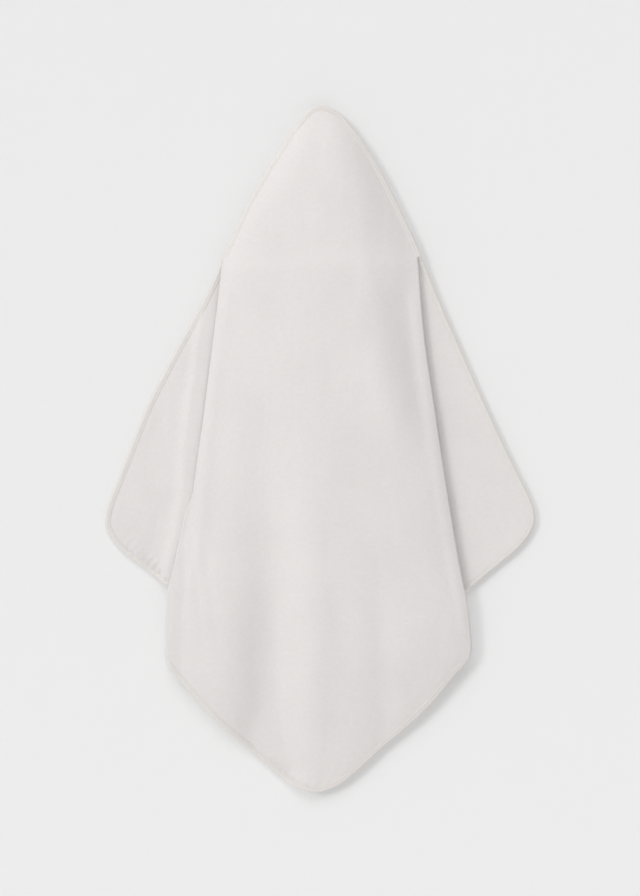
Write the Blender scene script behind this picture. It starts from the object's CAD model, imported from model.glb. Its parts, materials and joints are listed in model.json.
import json
import math

import bpy
import numpy as np
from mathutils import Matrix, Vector

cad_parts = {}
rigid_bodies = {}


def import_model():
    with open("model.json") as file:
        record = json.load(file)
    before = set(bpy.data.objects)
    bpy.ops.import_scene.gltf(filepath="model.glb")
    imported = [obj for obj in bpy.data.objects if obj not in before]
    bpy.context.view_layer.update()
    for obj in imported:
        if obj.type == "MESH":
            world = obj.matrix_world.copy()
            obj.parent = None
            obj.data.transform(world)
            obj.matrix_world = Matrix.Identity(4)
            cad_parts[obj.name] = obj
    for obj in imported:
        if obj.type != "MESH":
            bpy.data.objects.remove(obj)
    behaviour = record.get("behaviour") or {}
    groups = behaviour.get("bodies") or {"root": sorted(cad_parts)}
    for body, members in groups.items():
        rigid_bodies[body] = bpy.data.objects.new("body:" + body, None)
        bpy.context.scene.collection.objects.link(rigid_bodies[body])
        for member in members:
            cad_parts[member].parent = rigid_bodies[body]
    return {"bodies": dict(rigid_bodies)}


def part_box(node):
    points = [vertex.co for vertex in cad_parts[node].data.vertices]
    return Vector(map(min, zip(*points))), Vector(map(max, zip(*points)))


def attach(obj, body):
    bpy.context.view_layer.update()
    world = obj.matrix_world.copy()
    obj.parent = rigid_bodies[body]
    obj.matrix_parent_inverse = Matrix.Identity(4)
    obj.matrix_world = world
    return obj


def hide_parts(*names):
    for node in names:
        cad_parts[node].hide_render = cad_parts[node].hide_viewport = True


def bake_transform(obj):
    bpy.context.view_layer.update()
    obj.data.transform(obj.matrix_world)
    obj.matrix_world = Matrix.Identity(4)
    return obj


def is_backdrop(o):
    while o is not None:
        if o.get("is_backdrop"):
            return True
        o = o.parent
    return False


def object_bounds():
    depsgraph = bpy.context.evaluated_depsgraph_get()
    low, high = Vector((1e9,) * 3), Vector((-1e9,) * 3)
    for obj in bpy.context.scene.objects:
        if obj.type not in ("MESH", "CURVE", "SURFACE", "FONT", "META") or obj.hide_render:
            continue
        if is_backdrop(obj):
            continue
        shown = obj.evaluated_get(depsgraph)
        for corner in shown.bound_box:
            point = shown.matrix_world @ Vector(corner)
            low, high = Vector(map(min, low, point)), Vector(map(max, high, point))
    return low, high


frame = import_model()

CAD_LO, CAD_HI = (np.array(v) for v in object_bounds())

# ---------------------------------------------------------------------------
# Everything is laid out in millimetres below the top of the hood, then mapped
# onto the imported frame's own box.
# ---------------------------------------------------------------------------
D_LO = np.array([-346.28, -52.48, -1106.2])
D_HI = np.array([344.40, 81.20, -2.0])
SCALE = (CAD_HI - CAD_LO) / (D_HI - D_LO)


def world(p):
    return CAD_LO + (np.asarray(p, float) - D_LO) * SCALE


def pchip(table, z):
    """Smooth, overshoot-free curve through a table of (z, value)."""
    t = sorted(table)
    x = np.array([a for a, _ in t], float)
    y = np.array([b for _, b in t], float)
    h = np.diff(x)
    d = np.diff(y) / h
    m = np.zeros_like(y)
    m[0], m[-1] = d[0], d[-1]
    for i in range(1, len(x) - 1):
        if d[i - 1] * d[i] > 0:
            w1, w2 = 2 * h[i] + h[i - 1], h[i] + 2 * h[i - 1]
            m[i] = (w1 + w2) / (w1 / d[i - 1] + w2 / d[i])
    z = np.clip(np.asarray(z, float), x[0], x[-1])
    i = np.clip(np.searchsorted(x, z) - 1, 0, len(x) - 2)
    s = (z - x[i]) / h[i]
    return ((1 + 2 * s) * (1 - s) ** 2 * y[i] + s * (1 - s) ** 2 * h[i] * m[i]
            + s * s * (3 - 2 * s) * y[i + 1] + s * s * (s - 1) * h[i] * m[i + 1])


def smooth(a, b, t):
    s = np.clip((np.asarray(t, float) - a) / (b - a), 0, 1)
    return s * s * (3 - 2 * s)


def bump(d, w):
    return np.exp(-(np.asarray(d, float) / w) ** 2)


LATTICE = np.random.RandomState(11).uniform(-1, 1, (64, 64))


def noise(x, y, seed=0):
    """Smooth value noise on a fixed lattice, about -1 to 1."""
    x = np.asarray(x, float) + 17.3 * seed
    y = np.asarray(y, float) + 9.7 * seed
    i, j = np.floor(x).astype(int), np.floor(y).astype(int)
    u, v = x - i, y - j
    u, v = u * u * u * (u * (6 * u - 15) + 10), v * v * v * (v * (6 * v - 15) + 10)
    g = lambda a, b: LATTICE[np.mod(a, 64), np.mod(b, 64)]
    return ((g(i, j) * (1 - u) + g(i + 1, j) * u) * (1 - v) + (g(i, j + 1) * (1 - u) + g(i + 1, j + 1) * u) * v)


# ---- outline and fold lines (z, x) --------------------------------------------
LEFT = [(-2.4, -10.7), (-10, -18.6), (-23.4, -30.4), (-42.9, -45.1), (-69.8, -62.2), (-104.2, -84.2), (-150.6, -111.2), (-202.1, -135.7),
        (-243.7, -155.2), (-263.4, -162.6), (-309.8, -184.3), (-376, -221.1), (-444.5, -257.8), (-483.7, -277.4),
        (-525.3, -294.6), (-601.3, -324.4), (-637.3, -338.8), (-658, -344.6), (-669.1, -346.1), (-676, -345.8), (-683.8, -343.2), (-700, -334), (-715.7, -320.7),
        (-745.1, -284.1), (-774.4, -244), (-862, -127)]
RIGHT = [(-2.4, 12.5), (-13.4, 28.5), (-40.5, 53), (-74.7, 77.4), (-116.3, 101.9), (-165.3, 126.4), (-216.8, 150.9),
         (-251, 165), (-322.1, 194.2), (-400.5, 228.8), (-471.5, 260.2), (-508.2, 276.9), (-571.2, 306.4),
         (-608, 324.8), (-639.8, 340), (-655, 344.2), (-666.7, 344.8), (-675, 343.6), (-683.8, 340.0), (-710.7, 319.8), (-737.8, 288), (-774.4, 244), (-866, 129)]
FOLD_L = [(-250, -155.5), (-258, -157), (-272, -158.6), (-299, -161.5), (-347, -167.5), (-387, -172.5), (-443, -179.5), (-507, -187.5),
          (-571, -197), (-605, -201.5), (-626, -205), (-651, -214), (-665, -218.5), (-699, -225.5), (-750, -237), (-774, -243.5), (-795, -246.6),
          (-843, -248.8), (-883, -248.2), (-897, -245.6), (-905.3, -241.0),
          (-930, -219.5), (-988.6, -165.4), (-1018, -134.5), (-1047.4, -101.8), (-1069.4, -76.3), (-1087, -54), (-1098, -36), (-1103.6, -23), (-1106, -10)]
FOLD_R = [(-238, 154), (-250, 156.5), (-262, 158), (-290, 159.8), (-315, 161.5), (-351, 164.5), (-387, 168.5), (-431, 174.5), (-475, 181.2), (-555, 192.8),
          (-635, 205.3), (-715, 218.7), (-763, 227.7), (-782, 231.9), (-810, 236.8), (-843, 240.8), (-870, 243.2), (-885, 241.5), (-897, 233.5), (-909, 221.5), (-923, 209.5),
          (-955, 184), (-987, 152.5), (-1016, 119.5), (-1040, 91.4), (-1069, 60.5), (-1085, 41), (-1096, 24), (-1102.5, 8), (-1106, -8)]
# the soft ridge inside the left fold, and the roll and valley of the wing just outside it
LIP = [(-262, -155), (-299, -161), (-347, -167), (-387, -172), (-475, -183), (-571, -194), (-635, -198), (-699, -203), (-760, -214), (-820, -222)]
VALLEY = [(-262, -160), (-299, -164), (-347, -174), (-387, -179), (-427, -182), (-475, -189), (-571, -201), (-635, -210), (-699, -222)]
CREST = [(-262, -164), (-299, -173), (-347, -184), (-387, -191), (-427, -197), (-475, -203), (-523, -209), (-571, -213), (-635, -216), (-699, -223), (-774, -244)]
FOLD_TOP, FOLD_END = (146.0, -254.0), (128.0, -862.0)
PLEAT_L, PLEAT_R, HEM_Z, TIP_Z, FOOT_Z = -249.0, -245.0, -897.0, -3.4, -1104.9
UNDER_Y, FOOT_Y = (-5.5, -6.4), -19.0
EDGE_L = [(0, -6), (-60, -5), (-235, -4.4), (-254, -6), (-268, -8.6), (-300, -9.2), (-400, -8.4), (-560, -8.2), (-700, -8.0), (-800, -9.6), (-870, -13),
          (-905, -13.5), (-930, -12), (-960, -10), (-1010, -7), (-1110, -4)]
EDGE_R = [(0, -6), (-60, -5), (-225, -4.4), (-240, -6), (-262, -11), (-300, -14), (-350, -15.5), (-600, -16.5), (-800, -16.2), (-840, -15.2), (-880, -13.8), (-922, -11.0), (-960, -9), (-1010, -6), (-1110, -4)]
SEAM_Y = [(0, -6), (-60, -5), (-222, -4.4), (-255, -0.9), (-1110, -0.9)]
BULGE = [(0, 0.6), (-30, 6.5), (-60, 18.5), (-100, 27), (-150, 33), (-254, 37), (-350, 33), (-500, 29), (-700, 26), (-860, 23),
         (-960, 15.5), (-1040, 8), (-1085, 2.5), (-1110, 0)]
HALF, HALF_HEM = 1.75, 1.52


def fold_x(z):
    return FOLD_TOP[0] + (np.asarray(z, float) - FOLD_TOP[1]) / (FOLD_END[1] - FOLD_TOP[1]) * (FOLD_END[0] - FOLD_TOP[0])


def edge_l(z):
    return np.where(z > PLEAT_L, pchip(LEFT, z), pchip(FOLD_L, z))


def edge_r(z):
    return np.where(z > PLEAT_R, pchip(RIGHT, z), pchip(FOLD_R, z))


def relief(x, z):
    """y of the middle of the centre panel, hood back and foot corner."""
    x, z = np.asarray(x, float), np.asarray(z, float)
    # the form is measured between edges that pass smoothly from the outline to the folds
    ml, mr = smooth(-225, -300, z), smooth(-215, -300, z)
    L = pchip(LEFT, z) * (1 - ml) + pchip(FOLD_L, np.minimum(z, -250)) * ml
    R = pchip(RIGHT, z) * (1 - mr) + pchip(FOLD_R, np.minimum(z, -238)) * mr
    xc = (L + R) / 2
    s = np.clip((x - xc) / np.maximum((R - L) / 2, 1), -1, 1)
    lip = pchip(LIP, z)
    sb = np.clip((x - xc) / np.minimum(lip - xc, -1), 0, 1)
    hood = smooth(-460, -250, z)
    # left of the hood back: an even slope up to the middle with a steep rise by the seam
    pa = 0.44 * smooth(-70, -150, z)
    slant = (np.sqrt(s * s + 0.05) - 0.2236) / 0.8011
    al = (1 - np.abs(s) ** (3.6 + 6.0 * smooth(-100, -200, z))) * (1 - pa) + pa * (1 - slant)
    a = np.where(s < 0, al ** 1.02, (1 - np.abs(s) ** (2.25 + 0.45 * smooth(-60, -160, z))) ** 1.35)
    pb = 0.62 * smooth(-400, -600, z)
    b = np.where(s < 0, 1 - sb ** 2.2, (1 - pb) * (1 - np.abs(s) ** (3.0 + 8.0 * pb)) ** 1.15 + pb * (1 - slant))
    el, er = pchip(EDGE_L, z), pchip(EDGE_R, z)
    y = el + (er - el) * smooth(-1, 1, s) - pchip(BULGE, z) * (hood * a + (1 - hood) * b)
    # the soft ridge that runs down inside the left fold
    y = y - 3.4 * bump(x - lip - 9, 14) * smooth(-262, -305, z) * smooth(-800, -700, z)
    y = y + 1.6 * bump(x - pchip(VALLEY, z) - 4, 8) * smooth(-615, -660, z) * smooth(-790, -730, z)
    # a slight lip just before the right fold
    y = y - 1.9 * bump(x - R + 10, 10) * smooth(-290, -340, z) * smooth(-870, -820, z)
    # valley and ridge of the lower left
    va = np.interp(z, [-1106, -1011, -940, -780, -600, -480], [-70, -80, -74, -74, -84, -86])
    fa = 0.22 * smooth(-430, -560, z) + 0.78 * smooth(-560, -880, z)
    fa = fa * smooth(-1104, -1066, z)
    wv = np.where(x < va, 38 + 12 * smooth(-560, -800, z), 38)
    y = y + 29.0 * bump(x - va, wv) * fa - 1.0 * bump(x - va - 56, 28) * fa
    # diagonal fold under the right side of the hood
    vb = np.interp(z, [-640, -507, -443, -379, -315, -240], [186, 165, 151, 143, 134, 124])
    fb = smooth(-250, -330, z) * smooth(-640, -430, z)
    y = y + 4.5 * bump(x - vb, 23) * fb - 3.0 * bump(x - vb + 52, 26) * fb
    # faint hanging folds
    y = y + 1.7 * bump(x - 30, 22) * smooth(-700, -860, z) * smooth(-1060, -960, z)
    y = y + 2.6 * bump(x - 100, 24) * smooth(-700, -860, z) * smooth(-1060, -1000, z)
    y = y + 1.3 * bump(x + 178 + 0.12 * (z + 760), 10) * smooth(-640, -720, z) * smooth(-900, -830, z)
    y = y + 1.1 * bump(x + 198 + 0.12 * (z + 760), 7) * smooth(-640, -720, z) * smooth(-900, -830, z)
    inner = smooth(0.0, 0.14, 1 - np.abs(s))
    y = y + inner * (1.0 * noise(x / 62, z / 190, 1) + 0.45 * noise(x / 23 + 0.2 * z / 60, z / 80, 2) + 0.20 * noise(x / 9, z / 16, 3))
    # small gathers above the left pleat
    y = y + inner * 0.8 * np.sin((x * 0.42 + z * 0.9) / 2.4) * bump(x + 118, 26) * bump(z + 216, 9)
    # the deepest part of the fold stops short of whatever the cloth lies on
    return 4.5 - 2.5 * np.log1p(np.exp(np.clip((4.5 - y) / 2.5, -30, 30)))


def grid_normals(p, faces):
    n = np.zeros_like(p)
    f = np.asarray(faces)
    a, b, c, d = (p[f[:, i]] for i in range(4))
    fn = np.cross(c - a, d - b)
    for i in range(4):
        np.add.at(n, f[:, i], fn)
    return n / np.maximum(np.linalg.norm(n, axis=1), 1e-9)[:, None]


def make_mesh(name, verts, faces, uvs=None, mats=(), smooth_faces=True):
    me = bpy.data.meshes.new(name)
    me.from_pydata([tuple(v) for v in verts], [], [tuple(map(int, f)) for f in faces])
    me.validate()
    if uvs is not None:
        layer = me.uv_layers.new(name="cloth")
        idx = np.empty(len(me.loops), dtype=np.int32)
        me.loops.foreach_get("vertex_index", idx)
        layer.data.foreach_set("uv", np.asarray(uvs, np.float32)[idx].ravel())
    me.polygons.foreach_set("use_smooth", [smooth_faces] * len(me.polygons))
    ob = bpy.data.objects.new(name, me)
    bpy.context.scene.collection.objects.link(ob)
    for m in mats:
        me.materials.append(m)
    me.update()
    if smooth_faces:
        me.set_sharp_from_angle(angle=math.radians(64))
    return ob


def layer(name, p, faces, n, outer, inner, uv, mat):
    """Closed cloth layer between two offsets (arrays) of a middle surface."""
    f = np.asarray(faces)
    N = len(p)
    top, bot = p + n * outer[:, None], p + n * inner[:, None]
    quads = [tuple(q) for q in f] + [tuple(N + v for v in q[::-1]) for q in f]
    edges = {}
    for q in f:
        for i in range(4):
            s, e = int(q[i]), int(q[(i + 1) % 4])
            if (e, s) in edges:
                del edges[(e, s)]
            else:
                edges[(s, e)] = 1
    quads += [(s, N + s, N + e, e) for s, e in edges]
    uv2 = np.vstack([uv, uv + [0.37, 0.21]])
    return make_mesh(name, world(np.vstack([top, bot])), quads, uv2, [mat])


def seg_dist(px, pz, poly):
    """Distance from points to a polyline in the x, z plane."""
    d = np.full(px.shape, 1e9)
    for (x0, z0), (x1, z1) in zip(poly[:-1], poly[1:]):
        vx, vz = x1 - x0, z1 - z0
        t = np.clip(((px - x0) * vx + (pz - z0) * vz) / max(vx * vx + vz * vz, 1e-9), 0, 1)
        d = np.minimum(d, np.hypot(px - x0 - t * vx, pz - z0 - t * vz))
    return d


def resample(poly, step):
    poly = np.asarray(poly, float)
    d = np.r_[0, np.cumsum(np.linalg.norm(np.diff(poly, axis=0), axis=1))]
    n = max(2, int(round(d[-1] / step)) + 1)
    s = np.linspace(0, d[-1], n)
    return np.stack([np.interp(s, d, poly[:, k]) for k in range(poly.shape[1])], 1), s


def soften(a, times=2):
    a = np.array(a, float)
    for _ in range(times):
        b = a.copy()
        b[1:-1] = 0.25 * a[:-2] + 0.5 * a[1:-1] + 0.25 * a[2:]
        a = b
    return a


# ---------------------------------------------------------------------------
# Materials
# ---------------------------------------------------------------------------
def new_mat(name, colour, rough, sheen=0.25):
    m = bpy.data.materials.new(name)
    m.use_nodes = True
    nt = m.node_tree
    b = nt.nodes["Principled BSDF"]
    b.inputs["Base Color"].default_value = (*colour, 1)
    b.inputs["Roughness"].default_value = rough
    b.inputs["Sheen Weight"].default_value = sheen
    b.inputs["Sheen Roughness"].default_value = 0.45
    b.inputs["Specular IOR Level"].default_value = 0.22
    return m, nt, b


def N(nt, kind, **inputs):
    n = nt.nodes.new(kind)
    for k, v in inputs.items():
        if k in n.inputs:
            n.inputs[k].default_value = v
        else:
            setattr(n, k, v)
    return n


def math_node(nt, op, a, b=None):
    n = nt.nodes.new("ShaderNodeMath")
    n.operation = op
    for i, v in enumerate((a, b)):
        if v is None:
            continue
        if isinstance(v, (int, float)):
            n.inputs[i].default_value = v
        else:
            nt.links.new(v, n.inputs[i])
    return n.outputs[0]


def mix_colour(nt, fac, c1, c2):
    n = nt.nodes.new("ShaderNodeMix")
    n.data_type = "RGBA"
    nt.links.new(fac, n.inputs[0])
    n.inputs[6].default_value = (*c1, 1)
    n.inputs[7].default_value = (*c2, 1)
    return n.outputs[2]


def tex_noise(nt, vec, scale, detail=2.0, rough=0.5):
    n = nt.nodes.new("ShaderNodeTexNoise")
    n.inputs["Scale"].default_value = scale
    n.inputs["Detail"].default_value = detail
    n.inputs["Roughness"].default_value = rough
    nt.links.new(vec, n.inputs["Vector"])
    return n.outputs["Fac"]


def uv_xy(nt):
    uv = nt.nodes.new("ShaderNodeUVMap")
    uv.uv_map = "cloth"
    sep = nt.nodes.new("ShaderNodeSeparateXYZ")
    nt.links.new(uv.outputs[0], sep.inputs[0])
    return uv.outputs[0], sep.outputs[0], sep.outputs[1]


def ramp(nt, fac, a, b, lo=0.0, hi=1.0):
    n = nt.nodes.new("ShaderNodeMapRange")
    nt.links.new(fac, n.inputs[0])
    n.inputs[1].default_value, n.inputs[2].default_value = a, b
    n.inputs[3].default_value, n.inputs[4].default_value = lo, hi
    return n.outputs[0]


def bump_node(nt, height, strength, distance, normal=None):
    n = nt.nodes.new("ShaderNodeBump")
    n.inputs["Strength"].default_value = strength
    n.inputs["Distance"].default_value = distance
    nt.links.new(height, n.inputs["Height"])
    if normal is not None:
        nt.links.new(normal, n.inputs["Normal"])
    return n.outputs[0]


# cloth UVs are in metres along the cloth
def knit_height(nt, x, y, wale, course):
    """Fine jersey: columns of V-shaped stitches."""
    cx = math_node(nt, "MULTIPLY", x, 2 * math.pi / wale)
    col = math_node(nt, "SINE", cx)
    side = math_node(nt, "ABSOLUTE", col)
    lean = math_node(nt, "MULTIPLY", side, 1.5)
    cy = math_node(nt, "ADD", math_node(nt, "MULTIPLY", y, 2 * math.pi / course), lean)
    row = math_node(nt, "SINE", cy)
    h = math_node(nt, "ADD", math_node(nt, "MULTIPLY", side, 0.6), math_node(nt, "MULTIPLY", row, 0.25))
    return h


JERSEY = (0.775, 0.748, 0.738)
jersey, nt, b = new_mat("jersey_knit", JERSEY, 0.88, 0.18)
uv, ux, uy = uv_xy(nt)
mottle = tex_noise(nt, uv, 170.0, 3.0, 0.6)
cloud = tex_noise(nt, uv, 9.0, 2.0, 0.5)
yarn = tex_noise(nt, uv, 900.0, 1.0, 0.5)
fac = math_node(nt, "ADD", math_node(nt, "MULTIPLY", mottle, 0.55), math_node(nt, "MULTIPLY", cloud, 0.45))
col = mix_colour(nt, ramp(nt, fac, 0.36, 0.64), tuple(c * 0.972 for c in JERSEY), tuple(min(1, c * 1.022) for c in JERSEY))
nt.links.new(col, b.inputs["Base Color"])
nt.links.new(ramp(nt, mottle, 0.3, 0.7, 0.80, 0.94), b.inputs["Roughness"])
h = knit_height(nt, ux, uy, 0.0011, 0.0012)
n1 = bump_node(nt, mottle, 0.35, 0.0006)
n2 = bump_node(nt, h, 0.30, 0.00022, n1)
n3 = bump_node(nt, yarn, 0.25, 0.0002, n2)
nt.links.new(n3, b.inputs["Normal"])

TERRY = (0.83, 0.80, 0.765)
terry, nt, b = new_mat("terry_loops", TERRY, 0.96, 0.45)
uv, ux, uy = uv_xy(nt)
vor = nt.nodes.new("ShaderNodeTexVoronoi")
vor.inputs["Scale"].default_value = 520.0
vor.inputs["Randomness"].default_value = 0.85
nt.links.new(uv, vor.inputs["Vector"])
loops = vor.outputs["Distance"]
tuft = tex_noise(nt, uv, 330.0, 3.0, 0.65)
cloud = tex_noise(nt, uv, 26.0, 3.0, 0.6)
pile = math_node(nt, "ADD", math_node(nt, "MULTIPLY", math_node(nt, "SUBTRACT", 1.0, loops), 0.7), math_node(nt, "MULTIPLY", tuft, 0.6))
shade = math_node(nt, "ADD", math_node(nt, "MULTIPLY", pile, 0.6), math_node(nt, "MULTIPLY", cloud, 0.4))
col = mix_colour(nt, ramp(nt, shade, 0.45, 0.86), tuple(c * 0.86 for c in TERRY), tuple(min(1, c * 1.04) for c in TERRY))
nt.links.new(col, b.inputs["Base Color"])
nt.links.new(ramp(nt, tuft, 0.3, 0.7, 0.9, 1.0), b.inputs["Roughness"])
n1 = bump_node(nt, cloud, 0.35, 0.0016)
n2 = bump_node(nt, pile, 0.75, 0.0011, n1)
nt.links.new(n2, b.inputs["Normal"])

TAPE = (0.80, 0.765, 0.74)
tape_mat, nt, b = new_mat("binding_rib", TAPE, 0.84, 0.2)
uv, ux, uy = uv_xy(nt)
rib = math_node(nt, "SINE", math_node(nt, "MULTIPLY", uy, 2 * math.pi / 0.0013))
yarn = tex_noise(nt, uv, 700.0, 2.0, 0.6)
cloud = tex_noise(nt, uv, 40.0, 2.0, 0.5)
fac = math_node(nt, "ADD", math_node(nt, "MULTIPLY", ramp(nt, rib, -1, 1), 0.5), math_node(nt, "MULTIPLY", cloud, 0.5))
col = mix_colour(nt, ramp(nt, fac, 0.2, 0.85), tuple(c * 0.95 for c in TAPE), tuple(min(1, c * 1.03) for c in TAPE))
nt.links.new(col, b.inputs["Base Color"])
nt.links.new(ramp(nt, yarn, 0.3, 0.7, 0.78, 0.9), b.inputs["Roughness"])
n1 = bump_node(nt, rib, 0.4, 0.00016)
n2 = bump_node(nt, yarn, 0.3, 0.0002, n1)
nt.links.new(n2, b.inputs["Normal"])

THREAD = (0.83, 0.80, 0.77)
thread_mat, nt, b = new_mat("sewing_thread", THREAD, 0.62, 0.15)
uv, ux, uy = uv_xy(nt)
ply = math_node(nt, "SINE", math_node(nt, "ADD", math_node(nt, "MULTIPLY", uy, 2 * math.pi / 0.0008), math_node(nt, "MULTIPLY", ux, 2 * math.pi)))
fuzz = tex_noise(nt, uv, 1500.0, 2.0, 0.6)
col = mix_colour(nt, ramp(nt, ply, -1, 1), tuple(c * 0.93 for c in THREAD), tuple(min(1, c * 1.04) for c in THREAD))
nt.links.new(col, b.inputs["Base Color"])
nt.links.new(ramp(nt, fuzz, 0.3, 0.7, 0.55, 0.7), b.inputs["Roughness"])
nt.links.new(bump_node(nt, ply, 0.5, 0.00012), b.inputs["Normal"])

LABEL = (0.88, 0.88, 0.865)
label_mat, nt, b = new_mat("label_satin", LABEL, 0.42, 0.1)
uv, ux, uy = uv_xy(nt)
weave = math_node(nt, "MULTIPLY", math_node(nt, "SINE", math_node(nt, "MULTIPLY", ux, 2 * math.pi / 0.0006)),
                  math_node(nt, "SINE", math_node(nt, "MULTIPLY", uy, 2 * math.pi / 0.0004)))
soft = tex_noise(nt, uv, 160.0, 2.0, 0.5)
col = mix_colour(nt, ramp(nt, soft, 0.35, 0.65), tuple(c * 0.97 for c in LABEL), LABEL)
nt.links.new(col, b.inputs["Base Color"])
nt.links.new(ramp(nt, weave, -1, 1, 0.36, 0.5), b.inputs["Roughness"])
nt.links.new(bump_node(nt, weave, 0.3, 0.00008), b.inputs["Normal"])

# ---------------------------------------------------------------------------
# Centre panel: hood back, panel, foot corner, and the turn of each pleat
# ---------------------------------------------------------------------------
STEP = 3.4
rows = np.r_[np.arange(TIP_Z, FOOT_Z, -STEP), FOOT_Z]
COLS = int(440 / STEP)
base = np.linspace(0, 1, COLS + 1)
base = 0.5 - 0.5 * np.cos(np.pi * base) * (0.72 + 0.28 * np.abs(np.cos(np.pi * base)))  # closer towards the edges
base = (base - base[0]) / (base[-1] - base[0])
hem_poly = [(float(x), float(z)) for z, x in LEFT if z > -262][::-1] + [(float(x), float(z)) for z, x in RIGHT if z > -262]
foot_poly = ([(float(x), float(z)) for z, x in FOLD_L if z <= -897] + [(-8.0, -1106.3)]
             + [(float(x), float(z)) for z, x in sorted(FOLD_R) if z <= -893])


def turn_r(side, z):
    if side < 0:
        return np.maximum(1.25, (UNDER_Y[0] - pchip(EDGE_L, z)) / 2)
    return 2.6 + 1.4 * smooth(-800, -870, z)


def lean(side, z):
    """Angle at which the panel comes down to its fold."""
    z = np.asarray(z, float)
    x = (edge_l(z) if side < 0 else edge_r(z)) - side * (3.2 if side < 0 else 5.4)
    k = side * (relief(x + 0.5, z) - relief(x - 0.5, z))
    return np.arctan(np.clip(k, 0.0, 1.2))


def turn_path(side, z, x0, y0):
    """From the end of the front cloth, round the fold and in to the hidden band: offsets, outward normals."""
    R = float(turn_r(side, z))
    a0 = float(lean(side, z))
    cx_, cy_ = x0 - side * R * math.sin(a0), y0 + R * math.cos(a0)
    pts, nrm = [], []
    for t in TURN:
        a = a0 + (math.pi - a0) * t
        pts.append((cx_ + side * R * math.sin(a), cy_ - R * math.cos(a)))
        nrm.append((side * math.sin(a), -math.cos(a)))
    x0, y1 = cx_, cy_ + R
    back = UNDER_Y[0 if side < 0 else 1]
    w = min(7.0 if side < 0 else 15.0, max(2.5, abs(x0) - float(fold_x(z)) - 4))
    for t in (0.25, 0.5, 0.75, 1.0):
        e = t * t * (3 - 2 * t)
        pts.append((x0 - side * w * t, y1 + (back - y1) * e))
        nrm.append((0.0, 1.0))
    return pts, nrm


TURN = np.arange(1, 11) / 10.0


def bounds_x(z):
    """Where the heightfield part of the centre panel ends, left and right."""
    pl = smooth(PLEAT_L + 1, PLEAT_L - 8, z) * smooth(HEM_Z - 1.2, HEM_Z, z)
    pr = smooth(PLEAT_R + 1, PLEAT_R - 8, z) * smooth(HEM_Z - 1.2, HEM_Z, z)
    k = (pchip(FOLD_L, z + 3) - pchip(FOLD_L, z - 3)) / 6
    kl = np.where(z > PLEAT_L, (pchip(LEFT, z + 3) - pchip(LEFT, z - 3)) / 6, k)
    k = (pchip(FOLD_R, z + 3) - pchip(FOLD_R, z - 3)) / 6
    kr = np.where(z > PLEAT_R, (pchip(RIGHT, z + 3) - pchip(RIGHT, z - 3)) / 6, k)
    hl, hr = 1.6 * np.minimum(2.2, np.sqrt(1 + kl ** 2)), 1.6 * np.minimum(2.2, np.sqrt(1 + kr ** 2))
    RL = turn_r(-1, z) * (1 - np.sin(lean(-1, z))) + 1.0 + 0.75 * smooth(-840, -880, z)
    RR = turn_r(1, z) * (1 - np.sin(lean(1, z))) + HALF
    return edge_l(z) + hl * (1 - pl) + RL * pl, edge_r(z) - hr * (1 - pr) - RR * pr


P, UV, ids, F = [], [], {}, []
for r, z in enumerate(rows):
    xl, xr = (float(v) for v in bounds_x(z))
    xs = xl + (xr - xl) * base
    ys = relief(xs, np.full_like(xs, z))
    arc = np.r_[0, np.cumsum(np.hypot(np.diff(xs), np.diff(ys)))]
    arc -= np.interp(0.0, xs, arc)
    for j, (x, y) in enumerate(zip(xs, ys)):
        ids[r, j] = len(P)
        P.append((x, y, z))
        UV.append((arc[j] / 1000, z / 1000))
for r in range(len(rows) - 1):
    for j in range(COLS):
        F.append((ids[r, j], ids[r + 1, j], ids[r + 1, j + 1], ids[r, j + 1]))
HID = []
for side in (-1, 1):
    top = PLEAT_L if side < 0 else PLEAT_R
    rr = [r for r, z in enumerate(rows) if top >= z >= HEM_Z]
    K = len(TURN) + 4
    for r in rr:
        z = rows[r]
        x0, y0, _ = P[ids[r, 0 if side < 0 else COLS]]
        u0 = UV[ids[r, 0 if side < 0 else COLS]][0]
        prev, d = (x0, y0), 0.0
        for k, p in enumerate(turn_path(side, z, x0, y0)[0]):
            ids[r, side, k] = len(P)
            d += math.hypot(p[0] - prev[0], p[1] - prev[1])
            prev = p
            P.append((p[0], p[1], z))
            UV.append((u0 + side * d / 1000, z / 1000))
            HID.append((ids[r, side, k], k, side))
    key = lambda r, k: ids[r, 0 if side < 0 else COLS] if k < 0 else ids[r, side, k]
    for r in rr[:-1]:
        for k in range(-1, K - 1):
            q = (key(r, k), key(r, k + 1), key(r + 1, k + 1), key(r + 1, k))
            F.append(q if side < 0 else q[::-1])
P, UV = np.array(P), np.array(UV)
n = grid_normals(P, F)
hd = np.minimum(seg_dist(P[:, 0], P[:, 2], hem_poly), seg_dist(P[:, 0], P[:, 2], foot_poly))
half = HALF_HEM + (HALF - HALF_HEM) * smooth(8, 16, hd)
for i_, k_, side_ in HID:
    # the cloth is pressed thinner where it runs back under the left fold
    if side_ < 0:
        half[i_] += (1.0 + (0.6 - 1.0) * smooth(-1, 6, k_) - half[i_]) * smooth(-892, -850, P[i_, 2])
front = np.arange(len(P)) < len(rows) * (COLS + 1)
lip_d = P[:, 0] - edge_l(P[:, 2])
half -= front * (half - 1.0) * smooth(13, 3, lip_d) * smooth(-258, -276, P[:, 2]) * smooth(-880, -840, P[:, 2])
gather = lambda x, z, d: (0.55 * np.sin(seg_phase(x, z)) * bump(d, 9))


def seg_phase(x, z):
    return (x * 0.8 - z * 0.6) / 1.9 + 1.4 * noise(x / 14, z / 14, 5)


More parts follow.
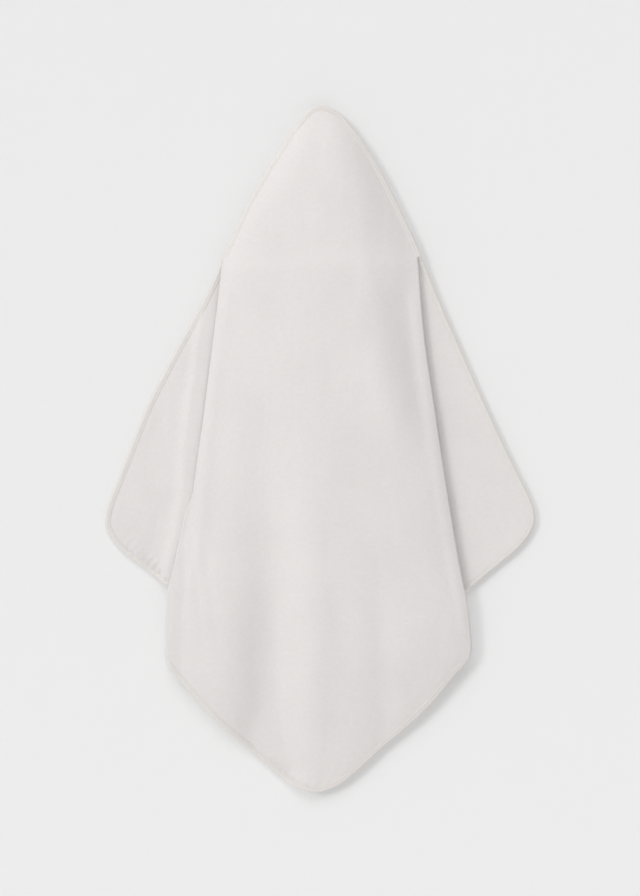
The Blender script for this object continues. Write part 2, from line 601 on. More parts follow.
# puckers along the lower left hem and near the bottom tip
pk = (0.10 + 0.9 * bump(P[:, 0] + 60, 48) * (P[:, 2] < -1000)) * bump(hd - 11, 11) * (P[:, 2] < -890)
P = P + n * (0.75 * np.sin(seg_phase(P[:, 0], P[:, 2])) * pk)[:, None]
n = grid_normals(P, F)
lo, hi = half * 0 - half, half
center_jersey = layer("center_jersey", P, F, n, hi, hi - 0.85, UV, jersey)
loft = 0.28 * noise(P[:, 0] / 3.1, P[:, 2] / 3.1, 7) * (hd > 9)
center_terry = layer("center_terry", P, F, n, hi - 1.05, lo + loft, UV, terry)


# ---------------------------------------------------------------------------
# Hem binding and its stitches
# ---------------------------------------------------------------------------
T_SAMPLES = np.array([0.0, 3.0, 6.0, 9.0, 12.0])
TAPE_FACE = [(9.1, 1.60), (8.95, 1.92), (8.4, 2.08), (7.4, 1.88), (6.6, 2.12), (5.9, 2.12), (5.1, 1.90), (4.3, 2.30), (3.4, 2.50),
             (2.5, 2.48), (1.65, 2.16), (0.85, 1.60), (0.25, 0.90)]
TAPE_SLOT = [(9.1, 1.55), (2.3, 1.45), (1.45, 0.7)]


def at_t(samples, t):
    """samples: stations x T_SAMPLES x 3, read at inward distance t."""
    k = np.clip(np.searchsorted(T_SAMPLES, t) - 1, 0, len(T_SAMPLES) - 2)
    s = (t - T_SAMPLES[k]) / (T_SAMPLES[k + 1] - T_SAMPLES[k])
    return samples[:, k] * (1 - s) + samples[:, k + 1] * s


def binding(name, SP, SN, arc, back=1.0, pucker=None, front=1.0):
    """Tape folded over a hem. back and front thicken one face where more layers run inside."""
    m = len(SP)
    back = np.broadcast_to(np.asarray(back, float), (m,))
    front = np.broadcast_to(np.asarray(front, float), (m,))
    pk = np.zeros(m) if pucker is None else pucker
    loop = [(t, v, 1) for t, v in TAPE_FACE] + [(0.0, 0.0, 1)] + [(t, v, -1) for t, v in TAPE_FACE[::-1]]
    loop += [(t, v, -1) for t, v in TAPE_SLOT] + [(1.0, 0.0, -1)] + [(t, v, 1) for t, v in TAPE_SLOT[::-1]]
    loop = loop[:-1] if False else loop
    rings = []
    for i, (t, v, s) in enumerate(loop):
        base_p, nn = at_t(SP, t), at_t(SN, t)
        nn = nn / np.linalg.norm(nn, axis=1)[:, None]
        side = front if s > 0 else back
        wob = pk * (0.30 * (v / 2.4)) * (1 if s > 0 else -1) + pk * 0.35
        rings.append(base_p + nn * (s * v * side + wob)[:, None])
    R = np.stack(rings, 1)
    k = R.shape[1]
    verts = R.reshape(-1, 3)
    peri = np.linspace(0, 0.04, k)
    uv = np.stack([np.tile(peri, m), np.repeat(arc / 1000, k)], 1)
    faces = []
    for i in range(m - 1):
        for j in range(k):
            a, b2 = i * k + j, i * k + (j + 1) % k
            faces.append((a, b2, b2 + k, a + k))
    half_k = len(TAPE_FACE) * 2 + 1
    # caps: pair the outer loop with the slot
    outer_idx = list(range(half_k))
    slot_idx = list(range(k - 1, half_k - 1, -1))
    for off, flip in ((0, False), ((m - 1) * k, True)):
        ring = [off + i for i in range(k)]
        faces.append(tuple(ring[::-1]) if not flip else tuple(ring))
    ob = make_mesh(name, world(verts), faces, uv, [tape_mat])
    fix_normals(ob)
    return ob


def fix_normals(ob):
    import bmesh

    bm = bmesh.new()
    bm.from_mesh(ob.data)
    bmesh.ops.triangulate(bm, faces=[f for f in bm.faces if len(f.verts) > 4])
    bmesh.ops.recalc_face_normals(bm, faces=bm.faces)
    bm.to_mesh(ob.data)
    bm.free()
    ob.data.set_sharp_from_angle(angle=math.radians(64))


PITCH = 2.9


def cords(name, paths, mat):
    """Round cords, each path given as (points, normals, radii)."""
    V_, F_, U_ = [], [], []
    base_i = 0
    for pts, nrm, rad in paths:
        t = np.gradient(pts, axis=0)
        t /= np.maximum(np.linalg.norm(t, axis=1), 1e-9)[:, None]
        side = np.cross(t, nrm)
        side /= np.maximum(np.linalg.norm(side, axis=1), 1e-9)[:, None]
        up = np.cross(side, t)
        K = 6
        ang = np.arange(K) * 2 * math.pi / K
        ring = pts[:, None] + rad[:, None, None] * (np.cos(ang)[None, :, None] * side[:, None] + np.sin(ang)[None, :, None] * up[:, None])
        m = len(pts)
        s = np.r_[0, np.cumsum(np.linalg.norm(np.diff(pts, axis=0), axis=1))] / 1000
        V_.append(ring.reshape(-1, 3))
        U_.append(np.stack([np.tile(np.arange(K) / K, m), np.repeat(s, K)], 1))
        for i in range(m - 1):
            for j in range(K):
                a, b2 = base_i + i * K + j, base_i + i * K + (j + 1) % K
                F_.append((a, b2, b2 + K, a + K))
        F_.append(tuple(base_i + j for j in range(K))[::-1])
        F_.append(tuple(base_i + (m - 1) * K + j for j in range(K)))
        base_i += m * K
    ob = make_mesh(name, world(np.vstack(V_)), F_, np.vstack(U_), [mat])
    fix_normals(ob)
    return ob


def densify(SP, SN, arc, step):
    s = np.arange(arc[0], arc[-1], step)
    f = lambda A: np.stack([np.stack([np.interp(s, arc, A[:, k, c]) for c in range(3)], 1) for k in range(A.shape[1])], 1)
    return f(SP), f(SN), s


def stitching(name, SP, SN, arc, back=1.0, pucker=None, trim=1.2):
    """Two rows of lockstitch sunk in the tape's grooves, with the looper thread behind."""
    P2, N2, s = densify(SP, SN, arc, 0.72)
    keep = (s > trim) & (s < arc[-1] - trim)
    P2, N2, s = P2[keep], N2[keep], s[keep]
    pk = np.zeros(len(s)) if pucker is None else np.interp(s, arc, pucker)
    bk = np.interp(s, arc, np.broadcast_to(np.asarray(back, float), arc.shape))
    paths = []
    for t, ph in ((5.1, 0.0), (7.4, 0.5)):
        nn = at_t(N2, t)
        nn = nn / np.linalg.norm(nn, axis=1)[:, None]
        w = np.abs(np.sin(math.pi * (s / PITCH + ph)))
        height = 1.70 + 0.42 * w ** 0.55 + 0.4 * pk
        paths.append((at_t(P2, t) + nn * height[:, None], nn, 0.30 + 0.07 * w))
    # looper: a zigzag between the two rows on the terry side
    ph = np.mod(s / PITCH, 1.0)
    tri = 1 - 2 * np.abs(ph - 0.5)
    tt = 5.1 + 2.3 * tri
    A, B = at_t(P2, 5.1), at_t(P2, 7.4)
    nn = at_t(N2, 6.2)
    nn = nn / np.linalg.norm(nn, axis=1)[:, None]
    mid = A + (B - A) * tri[:, None]
    paths.append((mid - nn * ((2.1 + 0.24) * bk - 0.4 * pk)[:, None], -nn, np.full(len(s), 0.30)))
    return cords(name, paths, thread_mat)


def surface_samples(path, inward, y_of, sign=1.0, lift=0.0):
    """Stations along a hem of a heightfield y_of(x, z); inward are unit vectors in x, z."""
    SP, SN = [], []
    for t in T_SAMPLES:
        x, z = path[:, 0] + inward[:, 0] * t, path[:, 1] + inward[:, 1] * t
        e = 0.8
        y = y_of(x, z)
        dx = (y_of(x + e, z) - y_of(x - e, z)) / (2 * e)
        dz = (y_of(x, z + e) - y_of(x, z - e)) / (2 * e)
        nn = np.stack([dx, -np.ones_like(dx), dz], 1)
        nn /= np.linalg.norm(nn, axis=1)[:, None]
        SP.append(np.stack([x, y, z], 1))
        SN.append(nn * sign)
    SP, SN = np.stack(SP, 1), np.stack(SN, 1)
    return soften(SP, 1), soften(SN, 4)


def inward_of(path, centre):
    t = np.gradient(path, axis=0)
    t /= np.linalg.norm(t, axis=1)[:, None]
    n2 = np.stack([-t[:, 1], t[:, 0]], 1)
    flip = np.sign(((centre - path) * n2).sum(1).mean())
    n2 *= flip
    return soften(n2, 5) / np.linalg.norm(soften(n2, 5), axis=1)[:, None]


# hood legs, over the tip
step = 3.0
zz = np.arange(-256, -9, 1.0)
left_leg = np.stack([pchip(LEFT, zz), zz], 1)
right_leg = np.stack([pchip(RIGHT, zz[::-1]), zz[::-1]], 1)
tip = np.array([(-17.2, -8.5), (-14.5, -6.0), (-11, -3.6), (-6.5, -2.35), (0, -2.0), (6.5, -2.15), (12, -3.2), (16, -5.2), (19.5, -7.6)])
leg_path = np.vstack([left_leg[left_leg[:, 1] < -9.5], tip, right_leg[right_leg[:, 1] < -9.5]])
leg_path, leg_arc = resample(soften(leg_path, 6), step)
leg_in = inward_of(leg_path, np.array([0.0, -150.0]))


def leg_y(x, z):
    """The hem runs on flat under the top of each pleat, while the panel lifts over it."""
    w = np.where(x < 0, smooth(-247, -255, z), smooth(-243, -252, z))
    return relief(x, z) * (1 - w) + (pchip(SEAM_Y, z) - 0.8 * (x > 0) * smooth(-222, -255, z)) * w


SP, SN = surface_samples(leg_path, leg_in, leg_y)
stack = 1 + 1.28 * smooth(-262, -236, leg_path[:, 1])
leg_pk = 0.25 * np.sin(leg_arc / 1.7 + 2 * noise(leg_arc / 30, leg_arc * 0, 4)) * (0.3 + 0.7 * (noise(leg_arc / 60, leg_arc * 0 + 3, 6) > 0.1))
binding_hood = binding("binding_hood_legs", SP, SN, leg_arc, back=stack, pucker=leg_pk)
stitch_hood = stitching("stitch_hood_legs", SP, SN, leg_arc, back=stack, pucker=leg_pk)

LEG_ENDS = {0: (SP[0].copy(), SN[0].copy()), -1: (SP[-1].copy(), SN[-1].copy())}

# foot corner and the bottom corners of the pleats, up to where each pleat has turned
xl, xr = (float(v) for v in bounds_x(HEM_Z))


def turn_samples(side):
    """Stations round the bottom of a pleat's turn, from the hidden band to the front."""
    x0 = xl if side < 0 else xr
    y0 = float(relief(x0, HEM_Z))
    pts, nrm = turn_path(side, HEM_Z, x0, y0)
    pts, nrm = [(x0, y0)] + pts, [(0.0, -1.0)] + nrm
    out_p = [[[p[0], p[1], HEM_Z - 1.6 + t] for t in T_SAMPLES] for p in pts[::-1]]
    out_n = [[[q[0], q[1], 0.0]] * len(T_SAMPLES) for q in nrm[::-1]]
    return np.array(out_p), np.array(out_n)


fp = np.array([(float(pchip(FOLD_L, z)), z) for z in np.arange(-901, -1100, -1.5)]
              + [(-26.5, -1102.2), (-20, -1104.4), (-13, -1105.8), (-6, -1106.2), (0, -1105.2), (6, -1103.4)]
              + [(float(pchip(FOLD_R, z)), z) for z in np.arange(-1100, -899, 1.5)])
fp, fa = resample(soften(fp, 6), step)
f_in = inward_of(fp, np.array([0.0, -900.0]))
SPf, SNf = surface_samples(fp, f_in, relief)
pl, nl = turn_samples(-1)
pr, nr = turn_samples(1)
SPf = np.concatenate([pl, SPf, pr[::-1]])
SNf = np.concatenate([nl, SNf, nr[::-1]])
SPf, SNf = soften(SPf, 2), soften(SNf, 3)
arc_f = np.r_[0, np.cumsum(np.linalg.norm(np.diff(SPf[:, 0], axis=0), axis=1))]
ok = np.r_[True, np.diff(arc_f) > 0.2]
SPf, SNf, arc_f = SPf[ok], SNf[ok], arc_f[ok]
mx = SPf[:, 0, 0]
foot_pk = np.sin(arc_f / 1.55 + 2.2 * noise(arc_f / 26, arc_f * 0, 8)) * (0.10 + 0.75 * bump(mx + 50, 42) + 0.25 * bump(mx - 90, 60))
binding_foot = binding("binding_foot_corner", SPf, SNf, arc_f, pucker=foot_pk)
stitch_foot = stitching("stitch_foot_corner", SPf, SNf, arc_f, pucker=foot_pk)

# ---------------------------------------------------------------------------
# Wings: hidden pleat band, turn behind it, then the wing itself
# ---------------------------------------------------------------------------
WR = 230


def wing_y(side, x, z):
    x, z = np.asarray(x, float), np.asarray(z, float)
    top = smooth(-250, -355 if side < 0 else -335, z)
    out = np.abs(x) - fold_x(z)
    y = (-0.9 if side < 0 else -1.7) + (3.3 if side < 0 else 3.0) * top
    w = smooth(12, 60, out) * smooth(-262, -340, z)
    y = y + w * (0.9 * noise(x / 48, z / 90, 12 + side) + 0.4 * noise(x / 17, z / 40, 15 + side))
    if side < 0:
        # a soft roll beside the fold the wing comes out from, and a valley between the two
        y = y + 4.5 * smooth(24, 170, out) * top - 6.4 * bump(x - pchip(CREST, z), 11) * smooth(-285, -335, z) * smooth(-840, -740, z)
        y = y - 5.0 * bump(x - pchip(FOLD_L, z) + 5, 13) * smooth(-300, -360, z)
        y = y + 1.2 * bump(-x + pchip(FOLD_L, z) - 40, 15) * smooth(-600, -680, z)
        d = seg_dist(x.ravel(), z.ravel(), WING_HEM_L).reshape(x.shape)
        y = y + 1.35 * np.sin((x * 0.70 - z * 0.71) / 1.75 + 1.3 * noise(x / 16, z / 16, 21)) * bump(d - 13, 11) * bump(x + 262, 46) * w
        lim = -1.3 - 0.8 * smooth(-330, -365, z) + 1.6 * smooth(-640, -720, z)
        y = lim + 0.7 * np.log1p(np.exp(np.clip((y - lim) / 0.7, -30, 30)))
    return y


WING_HEM_L = [(float(x), float(z)) for z, x in LEFT if z < -669][::1]
wing_objs = {}
for side, tag in ((-1, "left"), (1, "right")):
    table = LEFT if side < 0 else RIGHT
    foldt = FOLD_L if side < 0 else FOLD_R
    vs = np.linspace(0, 1, WR)
    vs = np.r_[vs[:-1], 0.9985]
    z2 = -258 - (858.5 - 258) * vs
    z1 = -258 - (897 - 258) * vs
    pts, uvs, nid = [], [], None
    for v, zw, zu in zip(vs, z2, z1):
        bl, br = bounds_x(zu)
        xa = float(bl if side < 0 else br)
        xs_ = abs(turn_path(side, zu, xa, float(relief(xa, zu)))[0][-1][0]) + 0.5
        y_top = UNDER_Y[0 if side < 0 else 1]
        fx = float(fold_x(zw))
        yw = float(wing_y(side, side * (fx + 5), zw))
        yu = min(y_top, yw - 2.2)
        r2 = (yw - yu) / 2
        xc = fx + r2
        row = []
        n_u = 10
        for i in range(n_u):
            s = i / n_u
            y = y_top + (yu - y_top) * min(1.0, s * 2.5)
            row.append((side * (xs_ + (xc - xs_) * s), y, zu + (zw - zu) * s))
        for a in np.linspace(0, math.pi, 9):
            row.append((side * (xc - r2 * math.sin(a)), (yu + yw) / 2 - r2 * math.cos(a), zw))
        k = (pchip(table, zw + 3) - pchip(table, zw - 3)) / 6
        xo = abs(float(pchip(table, zw))) - 1.6 * min(2.2, math.sqrt(1 + float(k) ** 2))
        n_w = 72
        for i in range(1, n_w + 1):
            s = 1 - (1 - i / n_w) ** 1.15
            x = xc + (max(xo, xc + 0.6) - xc) * s
            row.append((side * x, float(wing_y(side, side * x, zw)), zw))
        row = np.array(row)
        arc = np.r_[0, np.cumsum(np.linalg.norm(np.diff(row, axis=0), axis=1))]
        pts.append(row)
        uvs.append(np.stack([side * (arc - arc[n_u + 4]) / 1000 + side * 0.16, np.full(len(arc), zw / 1000)], 1))
    Pw = np.array(pts)
    m, k = Pw.shape[:2]
    UVw = np.array(uvs).reshape(-1, 2)
    Fw = []
    for i in range(m - 1):
        for j in range(k - 1):
            a = i * k + j
            q = (a, a + 1, a + k + 1, a + k)
            Fw.append(q if side > 0 else q[::-1])
    Pf = Pw.reshape(-1, 3)
    nw = grid_normals(Pf, Fw)
    # the smooth side of the wing faces -Y, so flip if needed
    if nw.reshape(m, k, 3)[m // 2, -5, 1] > 0:
        Fw = [q[::-1] for q in Fw]
        nw = -nw
    hem_line = [(side * abs(float(x)), float(z)) for z, x in (LEFT if side < 0 else RIGHT) if z < -262]
    wd = seg_dist(Pf[:, 0], Pf[:, 2], hem_line)
    isw = (np.arange(k) > 14)[None, :].repeat(m, 0).ravel()
    bottom = (np.arange(m) / (m - 1))[:, None].repeat(k, 1).ravel()
    half = np.where(isw, HALF_HEM + (HALF - HALF_HEM) * smooth(8, 16, wd), HALF_HEM + (HALF - HALF_HEM) * smooth(1.0, 0.975, bottom))
    if side < 0:
        thin = smooth(n_u + 7, n_u + 1, np.arange(k))[None, :].repeat(m, 0).ravel()
        half = half + (0.6 - half) * thin
    wj = layer(f"{tag}_wing_jersey", Pf, Fw, nw, half, half - 0.85, UVw, jersey)
    loft = 0.28 * noise(Pf[:, 0] / 3.1, Pf[:, 2] / 3.1, 8)
    wt = layer(f"{tag}_wing_terry", Pf, Fw, nw, half - 1.05, -half + loft * (wd > 9), UVw, terry)
    # hem path: outer edge from the hood to the foot of the fold, round it, and along the hidden band
    zz = np.r_[np.arange(-256, -640, -2.0), np.arange(-640, -720, -1.0), np.arange(-720, -855, -1.5)]
    path = np.stack([pchip(table, zz), zz], 1)
    path, parc = resample(soften(path, 8), step)
    pin = inward_of(path, np.array([side * 150.0, -600.0]))
    yfun = lambda x, z, s_=side: wing_y(s_, x, z)
    SPw, SNw = surface_samples(path, pin, yfun)
    # the turn and the hidden band: the cloth's last row, measured up from its edge
    last, upper = Pw[-1], Pw[-6]
    nrow = nw.reshape(m, k, 3)[-3]
    cols = list(range(10 + 8, -1, -1))
    tp, tn = [], []
    for c in cols:
        up = upper[c] - last[c]
        up = up / np.linalg.norm(up)
        tp.append([last[c] + up * (t - 1.6) for t in T_SAMPLES])
        tn.append([nrow[c]] * len(T_SAMPLES))
    SPw, SNw = np.concatenate([SPw, np.array(tp)]), np.concatenate([SNw, np.array(tn)])
    SPw, SNw = soften(SPw, 2), soften(SNw, 4)
    for i_ in range(4):
        # start exactly where the hood's binding stops
        f_ = 1 - i_ / 4
        q_ = 0 if side < 0 else -1
        SPw[i_] += (LEG_ENDS[q_][0] - SPw[0]) * f_ if i_ else 0
        SNw[i_] = SNw[i_] * (1 - f_) + LEG_ENDS[q_][1] * f_
    SPw[0] = LEG_ENDS[q_][0]
    warc = np.r_[0, np.cumsum(np.linalg.norm(np.diff(SPw[:, 0], axis=0), axis=1))]
    ok = np.r_[True, np.diff(warc) > 0.2]
    SPw, SNw, warc = SPw[ok], SNw[ok], warc[ok]
    mx, mz = SPw[:, 0, 0], SPw[:, 0, 2]
    wpk = np.sin(warc / 1.6 + 2.0 * noise(warc / 24, warc * 0, 9 + side)) * (0.10 + (0.95 if side < 0 else 0.2) * bump(mx - side * 268, 52) * (mz < -680))
    # front and back swap over round the fold: the face that meets the swinging cloth is pressed flat
    hid = smooth(-859.5, -862.5, mz) * (SNw[:, 2, 1] > 0.2)
    flat = soften(1 - 0.55 * hid, 2)
    wb = binding(f"binding_{tag}_wing", SPw, SNw, warc, pucker=wpk, front=flat)
    ws = stitching(f"stitch_{tag}_wing", SPw, SNw, warc, pucker=wpk)
    wing_objs[tag] = (wj, wt, wb, ws)

# ---------------------------------------------------------------------------
# Hood front
# ---------------------------------------------------------------------------
HR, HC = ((74, 96))


def hood_point(k, s):
    """k from 0 at the tip to 1 at the mouth, s from -1 to 1 between the two seams."""
    zb = -9.0 - 249.0 * k
    ol, orr = pchip(LEFT, zb), pchip(RIGHT, zb)
    kl = np.minimum(2.0, np.sqrt(1 + ((pchip(LEFT, zb + 3) - pchip(LEFT, zb - 3)) / 6) ** 2))
    kr = np.minimum(2.0, np.sqrt(1 + ((pchip(RIGHT, zb + 3) - pchip(RIGHT, zb - 3)) / 6) ** 2))
    xl_, xr_ = ol + 2.6 * kl, orr - 2.6 * kr
    c, w = (xl_ + xr_) / 2, (xr_ - xl_) / 2
    x = c + s * w
    flat = 6.5 * (kl + kr) / 2 / np.maximum(w, 1)
    s2 = np.clip(np.abs(s) / np.maximum(1 - flat, 0.05), 0, 1)
    prof = (1 - s2 ** 2.2) ** 0.86
    # follow the seam's own middle, one cloth behind the hood back
    edge = pchip(SEAM_Y, zb) + 3.15
    tipfill = 5.6 * bump(zb + 12, 26) * (1 - np.abs(s) ** 2)
    drape = (2.6 * np.sin(s * 9.5 + 1.2 + 1.5 * k) + 1.6 * np.sin(s * 17 + 4 * k + 0.6)) * prof * k ** 1.2
    y = edge + 76.5 * k ** 1.1 * prof + tipfill + drape * 0.8 + 0.5 * noise(x / 20, zb / 30, 31) * prof
    z = zb + 50 * k ** 1.5 * (1 - s * s) * 0.98
    return np.stack([x, y, z], -1)


kk = np.linspace(0.0, 1.0, HR)
ss = np.sin(np.linspace(-1, 1, HC) * math.pi / 2 * 0.86) / math.sin(math.pi / 2 * 0.86)
PH = np.array([[hood_point(k, s) for s in ss] for k in kk])
m, k = PH.shape[:2]
arcs = np.concatenate([np.zeros((m, 1)), np.cumsum(np.linalg.norm(np.diff(PH, axis=1), axis=2), axis=1)], 1)
arcs -= arcs[:, k // 2][:, None]
lens = np.r_[0, np.cumsum(np.linalg.norm(np.diff(PH[:, k // 2], axis=0), axis=1))]
UVh = np.stack([arcs / 1000, np.repeat(-lens[:, None] / 1000, k, 1)], -1).reshape(-1, 2)
Fh = [(i * k + j, (i + 1) * k + j, (i + 1) * k + j + 1, i * k + j + 1) for i in range(m - 1) for j in range(k - 1)]
Pf = PH.reshape(-1, 3)
nh = grid_normals(Pf, Fh)
if nh.reshape(m, k, 3)[m // 2, k // 2, 1] < 0:
    Fh = [q[::-1] for q in Fh]
    nh = -nh
mouth_d = (lens[-1] - lens)[:, None].repeat(k, 1).ravel()
edge_d = (1 - np.abs(ss))[None, :].repeat(m, 0).ravel() * 150
half = HALF_HEM + (HALF - HALF_HEM) * np.minimum(smooth(8, 16, mouth_d), smooth(8, 18, edge_d))
hood_jersey = layer("hood_front_jersey", Pf, Fh, nh, half, half - 0.85, UVh, jersey)
loft = 0.28 * noise(Pf[:, 0] / 3.1, Pf[:, 2] / 3.1, 9)
hood_terry = layer("hood_front_terry", Pf, Fh, nh, half - 1.05, -half + loft, UVh, terry)
sm = np.linspace(-0.965, 0.965, 150)
edge_pts, up_pts = hood_point(1.0, sm), hood_point(0.95, sm)
up = up_pts - edge_pts
up /= np.linalg.norm(up, axis=1)[:, None]
across = np.gradient(edge_pts, axis=0)
across /= np.linalg.norm(across, axis=1)[:, None]
nm = np.cross(across, up)
nm *= np.sign((nm[:, 1]).mean())
nm /= np.linalg.norm(nm, axis=1)[:, None]
SPm = np.stack([edge_pts + up * (t - 1.6) for t in T_SAMPLES], 1)
SNm = np.repeat(nm[:, None], len(T_SAMPLES), 1)
marc = np.r_[0, np.cumsum(np.linalg.norm(np.diff(SPm[:, 0], axis=0), axis=1))]
mpk = 0.25 * np.sin(marc / 1.7 + 2 * noise(marc / 28, marc * 0, 14))
binding_mouth = binding("binding_hood_mouth", SPm, SNm, marc, pucker=mpk)
stitch_mouth = stitching("stitch_hood_mouth", SPm, SNm, marc, pucker=mpk)

# ---------------------------------------------------------------------------
# Blank care label on the terry side of the right wing
# ---------------------------------------------------------------------------
lo_, hi_ = (np.array(v) * 1000 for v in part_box("care_label"))
lx = np.linspace(lo_[0], hi_[0], 14)
lz = np.linspace(hi_[2], lo_[2], 20) - 20
LP = []
for i, z in enumerate(lz):
    for j, x in enumerate(lx):
        hang = i / (len(lz) - 1)
        curl = 1.5 * hang ** 2 + 0.35 * math.sin(j / 13 * math.pi) * hang
        LP.append((x, float(wing_y(1, np.array(x), np.array(z))) + HALF + 0.75 + curl, z))
LP = np.array(LP)
kl_ = len(lx)
FL = [(i * kl_ + j, i * kl_ + j + 1, (i + 1) * kl_ + j + 1, (i + 1) * kl_ + j) for i in range(len(lz) - 1) for j in range(kl_ - 1)]
nl_ = grid_normals(LP, FL)
if nl_[:, 1].mean() < 0:
    FL = [q[::-1] for q in FL]
    nl_ = -nl_
label = layer("care_label_blank", LP, FL, nl_, np.full(len(LP), 0.2), np.full(len(LP), -0.15), LP[:, [0, 2]] / 1000, label_mat)

# ---------------------------------------------------------------------------
# Frame: what each piece stands for and rides on
# ---------------------------------------------------------------------------
for ob, nodes, slot_ in (
    (center_jersey, ("shell_center", "shell_foot_corner"), "jersey"),
    (center_terry, ("lining_center", "lining_foot_corner"), "terry"),
    (binding_foot, ("binding_foot_corner", "binding_left_pleat", "binding_right_pleat"), "tape"),
    (stitch_foot, ("stitch_foot_corner", "stitch_left_pleat", "stitch_right_pleat"), "thread"),
):
    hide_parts(*nodes)
    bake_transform(ob)
for ob, nodes, slot_ in ((binding_hood, ("binding_hood_legs",), "tape"), (stitch_hood, ("stitch_hood_legs",), "thread")):
    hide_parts(*nodes)
    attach(ob, "back")
for tag in ("left", "right"):
    wj, wt, wb, ws = wing_objs[tag]
    for ob, node, slot_ in ((wj, f"shell_{tag}_wing", "jersey"), (wt, f"lining_{tag}_wing", "terry"),
                            (wb, f"binding_{tag}_wing", "tape"), (ws, f"stitch_{tag}_wing", "thread")):
        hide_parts(node)
        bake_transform(ob)
for ob, node, slot_ in ((hood_jersey, "hood_shell", "jersey"), (hood_terry, "hood_lining", "terry"),
                        (binding_mouth, "binding_hood_mouth", "tape"), (stitch_mouth, "stitch_hood_mouth", "thread")):
    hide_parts(node)
    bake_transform(ob)
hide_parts("care_label")
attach(label, "right_wing")

# ---------------------------------------------------------------------------
# Stage, light and camera
# ---------------------------------------------------------------------------
scene = bpy.context.scene
lo, hi = CAD_LO, CAD_HI
cx = 0.0
BACK = 0.83


def plain(name, colour, rough=0.9):
    m, nt, b = new_mat(name, colour, rough, 0.0)
    co = nt.nodes.new("ShaderNodeTexCoord")
    grain = tex_noise(nt, co.outputs["Object"], 3.0, 2.0, 0.5)
    nt.links.new(mix_colour(nt, grain, tuple(c * 0.995 for c in colour), tuple(min(1, c * 1.005) for c in colour)), b.inputs["Base Color"])
    return m, nt, b


fm, _, _ = plain("floor_paint", (0.86, 0.86, 0.86))
floor = make_mesh("floor", [(-12, -12, lo[2] - 0.45), (12, -12, lo[2] - 0.45), (12, 12, lo[2] - 0.45), (-12, 12, lo[2] - 0.45)], [(0, 1, 2, 3)], None, [fm], False)
floor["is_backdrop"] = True

# a pale wall close behind the cloth: seen only from in front, it catches the soft shadow
wm, nt, b = plain("wall_paint", (0.835, 0.835, 0.835))
out = nt.nodes["Material Output"]
geo = nt.nodes.new("ShaderNodeNewGeometry")
dot = nt.nodes.new("ShaderNodeVectorMath")
dot.operation = "DOT_PRODUCT"
nt.links.new(geo.outputs["Incoming"], dot.inputs[0])
dot.inputs[1].default_value = (0, -1, 0)
see = math_node(nt, "GREATER_THAN", dot.outputs["Value"], 0.93)
tr = nt.nodes.new("ShaderNodeBsdfTransparent")
mixs = nt.nodes.new("ShaderNodeMixShader")
nt.links.new(see, mixs.inputs[0])
nt.links.new(tr.outputs[0], mixs.inputs[1])
nt.links.new(b.outputs[0], mixs.inputs[2])
nt.links.new(mixs.outputs[0], out.inputs[0])
wall = make_mesh("wall", [(-6, 0, -6), (6, 0, -6), (6, 0, 6), (-6, 0, 6)], [(0, 1, 2, 3)], None, [wm], False)
wall.visible_shadow = False
wall.visible_diffuse = False
wall.visible_glossy = False
wall.visible_transmission = False
wall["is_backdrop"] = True
# it stands just behind the cloth, and moves back to clear any wing or corner that swings out
REST_Y, FAR_Y = 0.0135, 0.26
wall.location = (0, REST_Y, 0)
drv = wall.driver_add("location", 1).driver
drv.type = "SCRIPTED"
terms = []
for i, (body, chan) in enumerate((("left_wing", "ROT_Z"), ("right_wing", "ROT_Z"), ("foot_corner", "ROT_X"))):
    v = drv.variables.new()
    v.name = f"r{i}"
    v.type = "TRANSFORMS"
    v.targets[0].id = frame["bodies"][body]
    v.targets[0].transform_type = chan
    v.targets[0].transform_space = "WORLD_SPACE"
    terms.append(f"abs(r{i})")
drv.expression = f"{REST_Y} + {FAR_Y - REST_Y} * min(1, 4 * ({' + '.join(terms)}))"

world_ = bpy.data.worlds.new("studio")
scene.world = world_
world_.use_nodes = True
nt = world_.node_tree
nt.nodes.clear()
wo = nt.nodes.new("ShaderNodeOutputWorld")
lp = nt.nodes.new("ShaderNodeLightPath")
bg_cam = nt.nodes.new("ShaderNodeBackground")
bg_cam.inputs[0].default_value = (BACK, BACK, BACK, 1)
bg_light = nt.nodes.new("ShaderNodeBackground")
tc = nt.nodes.new("ShaderNodeTexCoord")
vm = nt.nodes.new("ShaderNodeVectorMath")
vm.operation = "DOT_PRODUCT"
key_dir = Vector((-0.55, -0.35, 0.75)).normalized()
vm.inputs[1].default_value = key_dir
nt.links.new(tc.outputs["Generated"], vm.inputs[0])
amount = ramp(nt, vm.outputs["Value"], -1, 1, 0.15, 0.84)
bg_light.inputs[0].default_value = (1, 1, 1, 1)
nt.links.new(amount, bg_light.inputs[1])
mx_ = nt.nodes.new("ShaderNodeMixShader")
nt.links.new(lp.outputs["Is Camera Ray"], mx_.inputs[0])
nt.links.new(bg_light.outputs[0], mx_.inputs[1])
nt.links.new(bg_cam.outputs[0], mx_.inputs[2])
nt.links.new(mx_.outputs[0], wo.inputs[0])


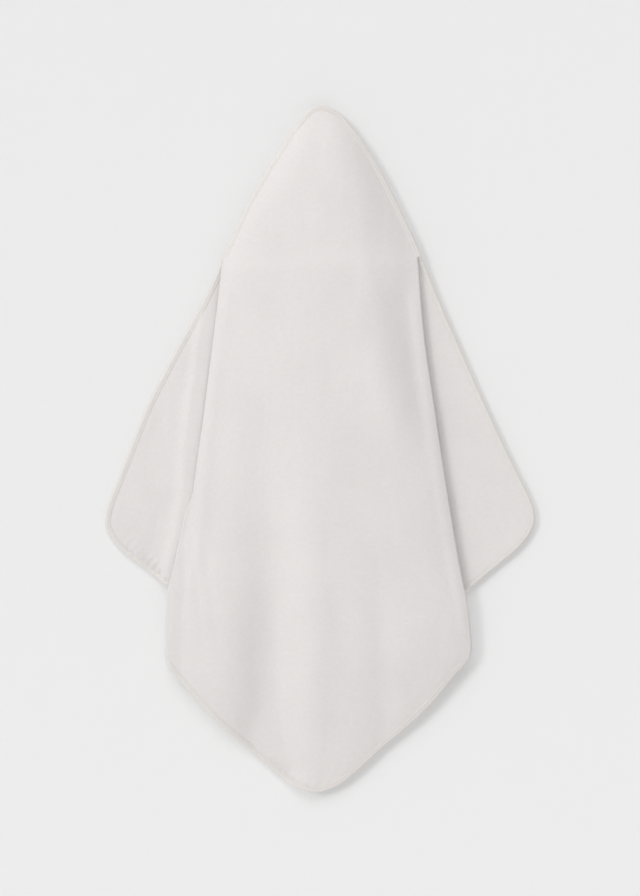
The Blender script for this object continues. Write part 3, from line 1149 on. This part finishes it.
def sun(name, direction, strength, angle):
    L = bpy.data.lights.new(name, "SUN")
    L.energy = strength
    L.angle = math.radians(angle)
    ob = bpy.data.objects.new(name, L)
    ob.rotation_euler = Vector(direction).to_track_quat("-Z", "Y").to_euler()
    scene.collection.objects.link(ob)
    return ob


sun("key", (0.80, 1.0, -0.35), 0.60, 16)
top_wall = sun("top", (0.20, 1.0, -1.00), 0.535, 34)
# the same light near enough to fall off down the cloth; the backdrop keeps the even one
AL = bpy.data.lights.new("top_near", "AREA")
D_TOP = 3.2
AL.shape, AL.size = "DISK", 2 * D_TOP * math.tan(math.radians(17))
AL.energy = 0.535 * math.pi * D_TOP ** 2 * 1.10
near = bpy.data.objects.new("top_near", AL)
aim = Vector((0.20, 1.0, -1.00)).normalized()
near.location = Vector((0.0, 0.0, float(world((0, 0, -180))[2]))) - aim * D_TOP
near.rotation_euler = aim.to_track_quat("-Z", "Y").to_euler()
scene.collection.objects.link(near)
lit = bpy.data.collections.new("lit_near")
far = bpy.data.collections.new("lit_far")
for ob in list(scene.objects):
    if ob.type == "MESH":
        (far if ob in (wall, floor) else lit).objects.link(ob)
near.light_linking.receiver_collection = lit
top_wall.light_linking.receiver_collection = far
sun("back_fill", (-0.4, -1.0, -0.5), 0.8, 40)

scene.view_settings.view_transform = "Standard"
scene.view_settings.look = "None"
scene.view_settings.exposure = 0.0

# camera: square on to the smooth side, framed as a tall picture
MM_PX = 1.6
W_PX, H_PX = 640, 896
px_w = MM_PX * SCALE[0]
centre_x = 0.0
centre_z = float(world((0, 0, -(H_PX / 2 - 103) * MM_PX))[2])
cam_d = bpy.data.cameras.new("camera")
cam = bpy.data.objects.new("camera", cam_d)
scene.collection.objects.link(cam)
scene.camera = cam
dist = 3.6
cam.location = (centre_x, -dist, centre_z)
cam.rotation_euler = (math.radians(90), 0, 0)
cam_d.sensor_fit = "VERTICAL"
cam_d.sensor_height = 24
cam_d.lens = 24 * (dist - 0.012) / (H_PX * px_w)
cam_d.clip_end = 60
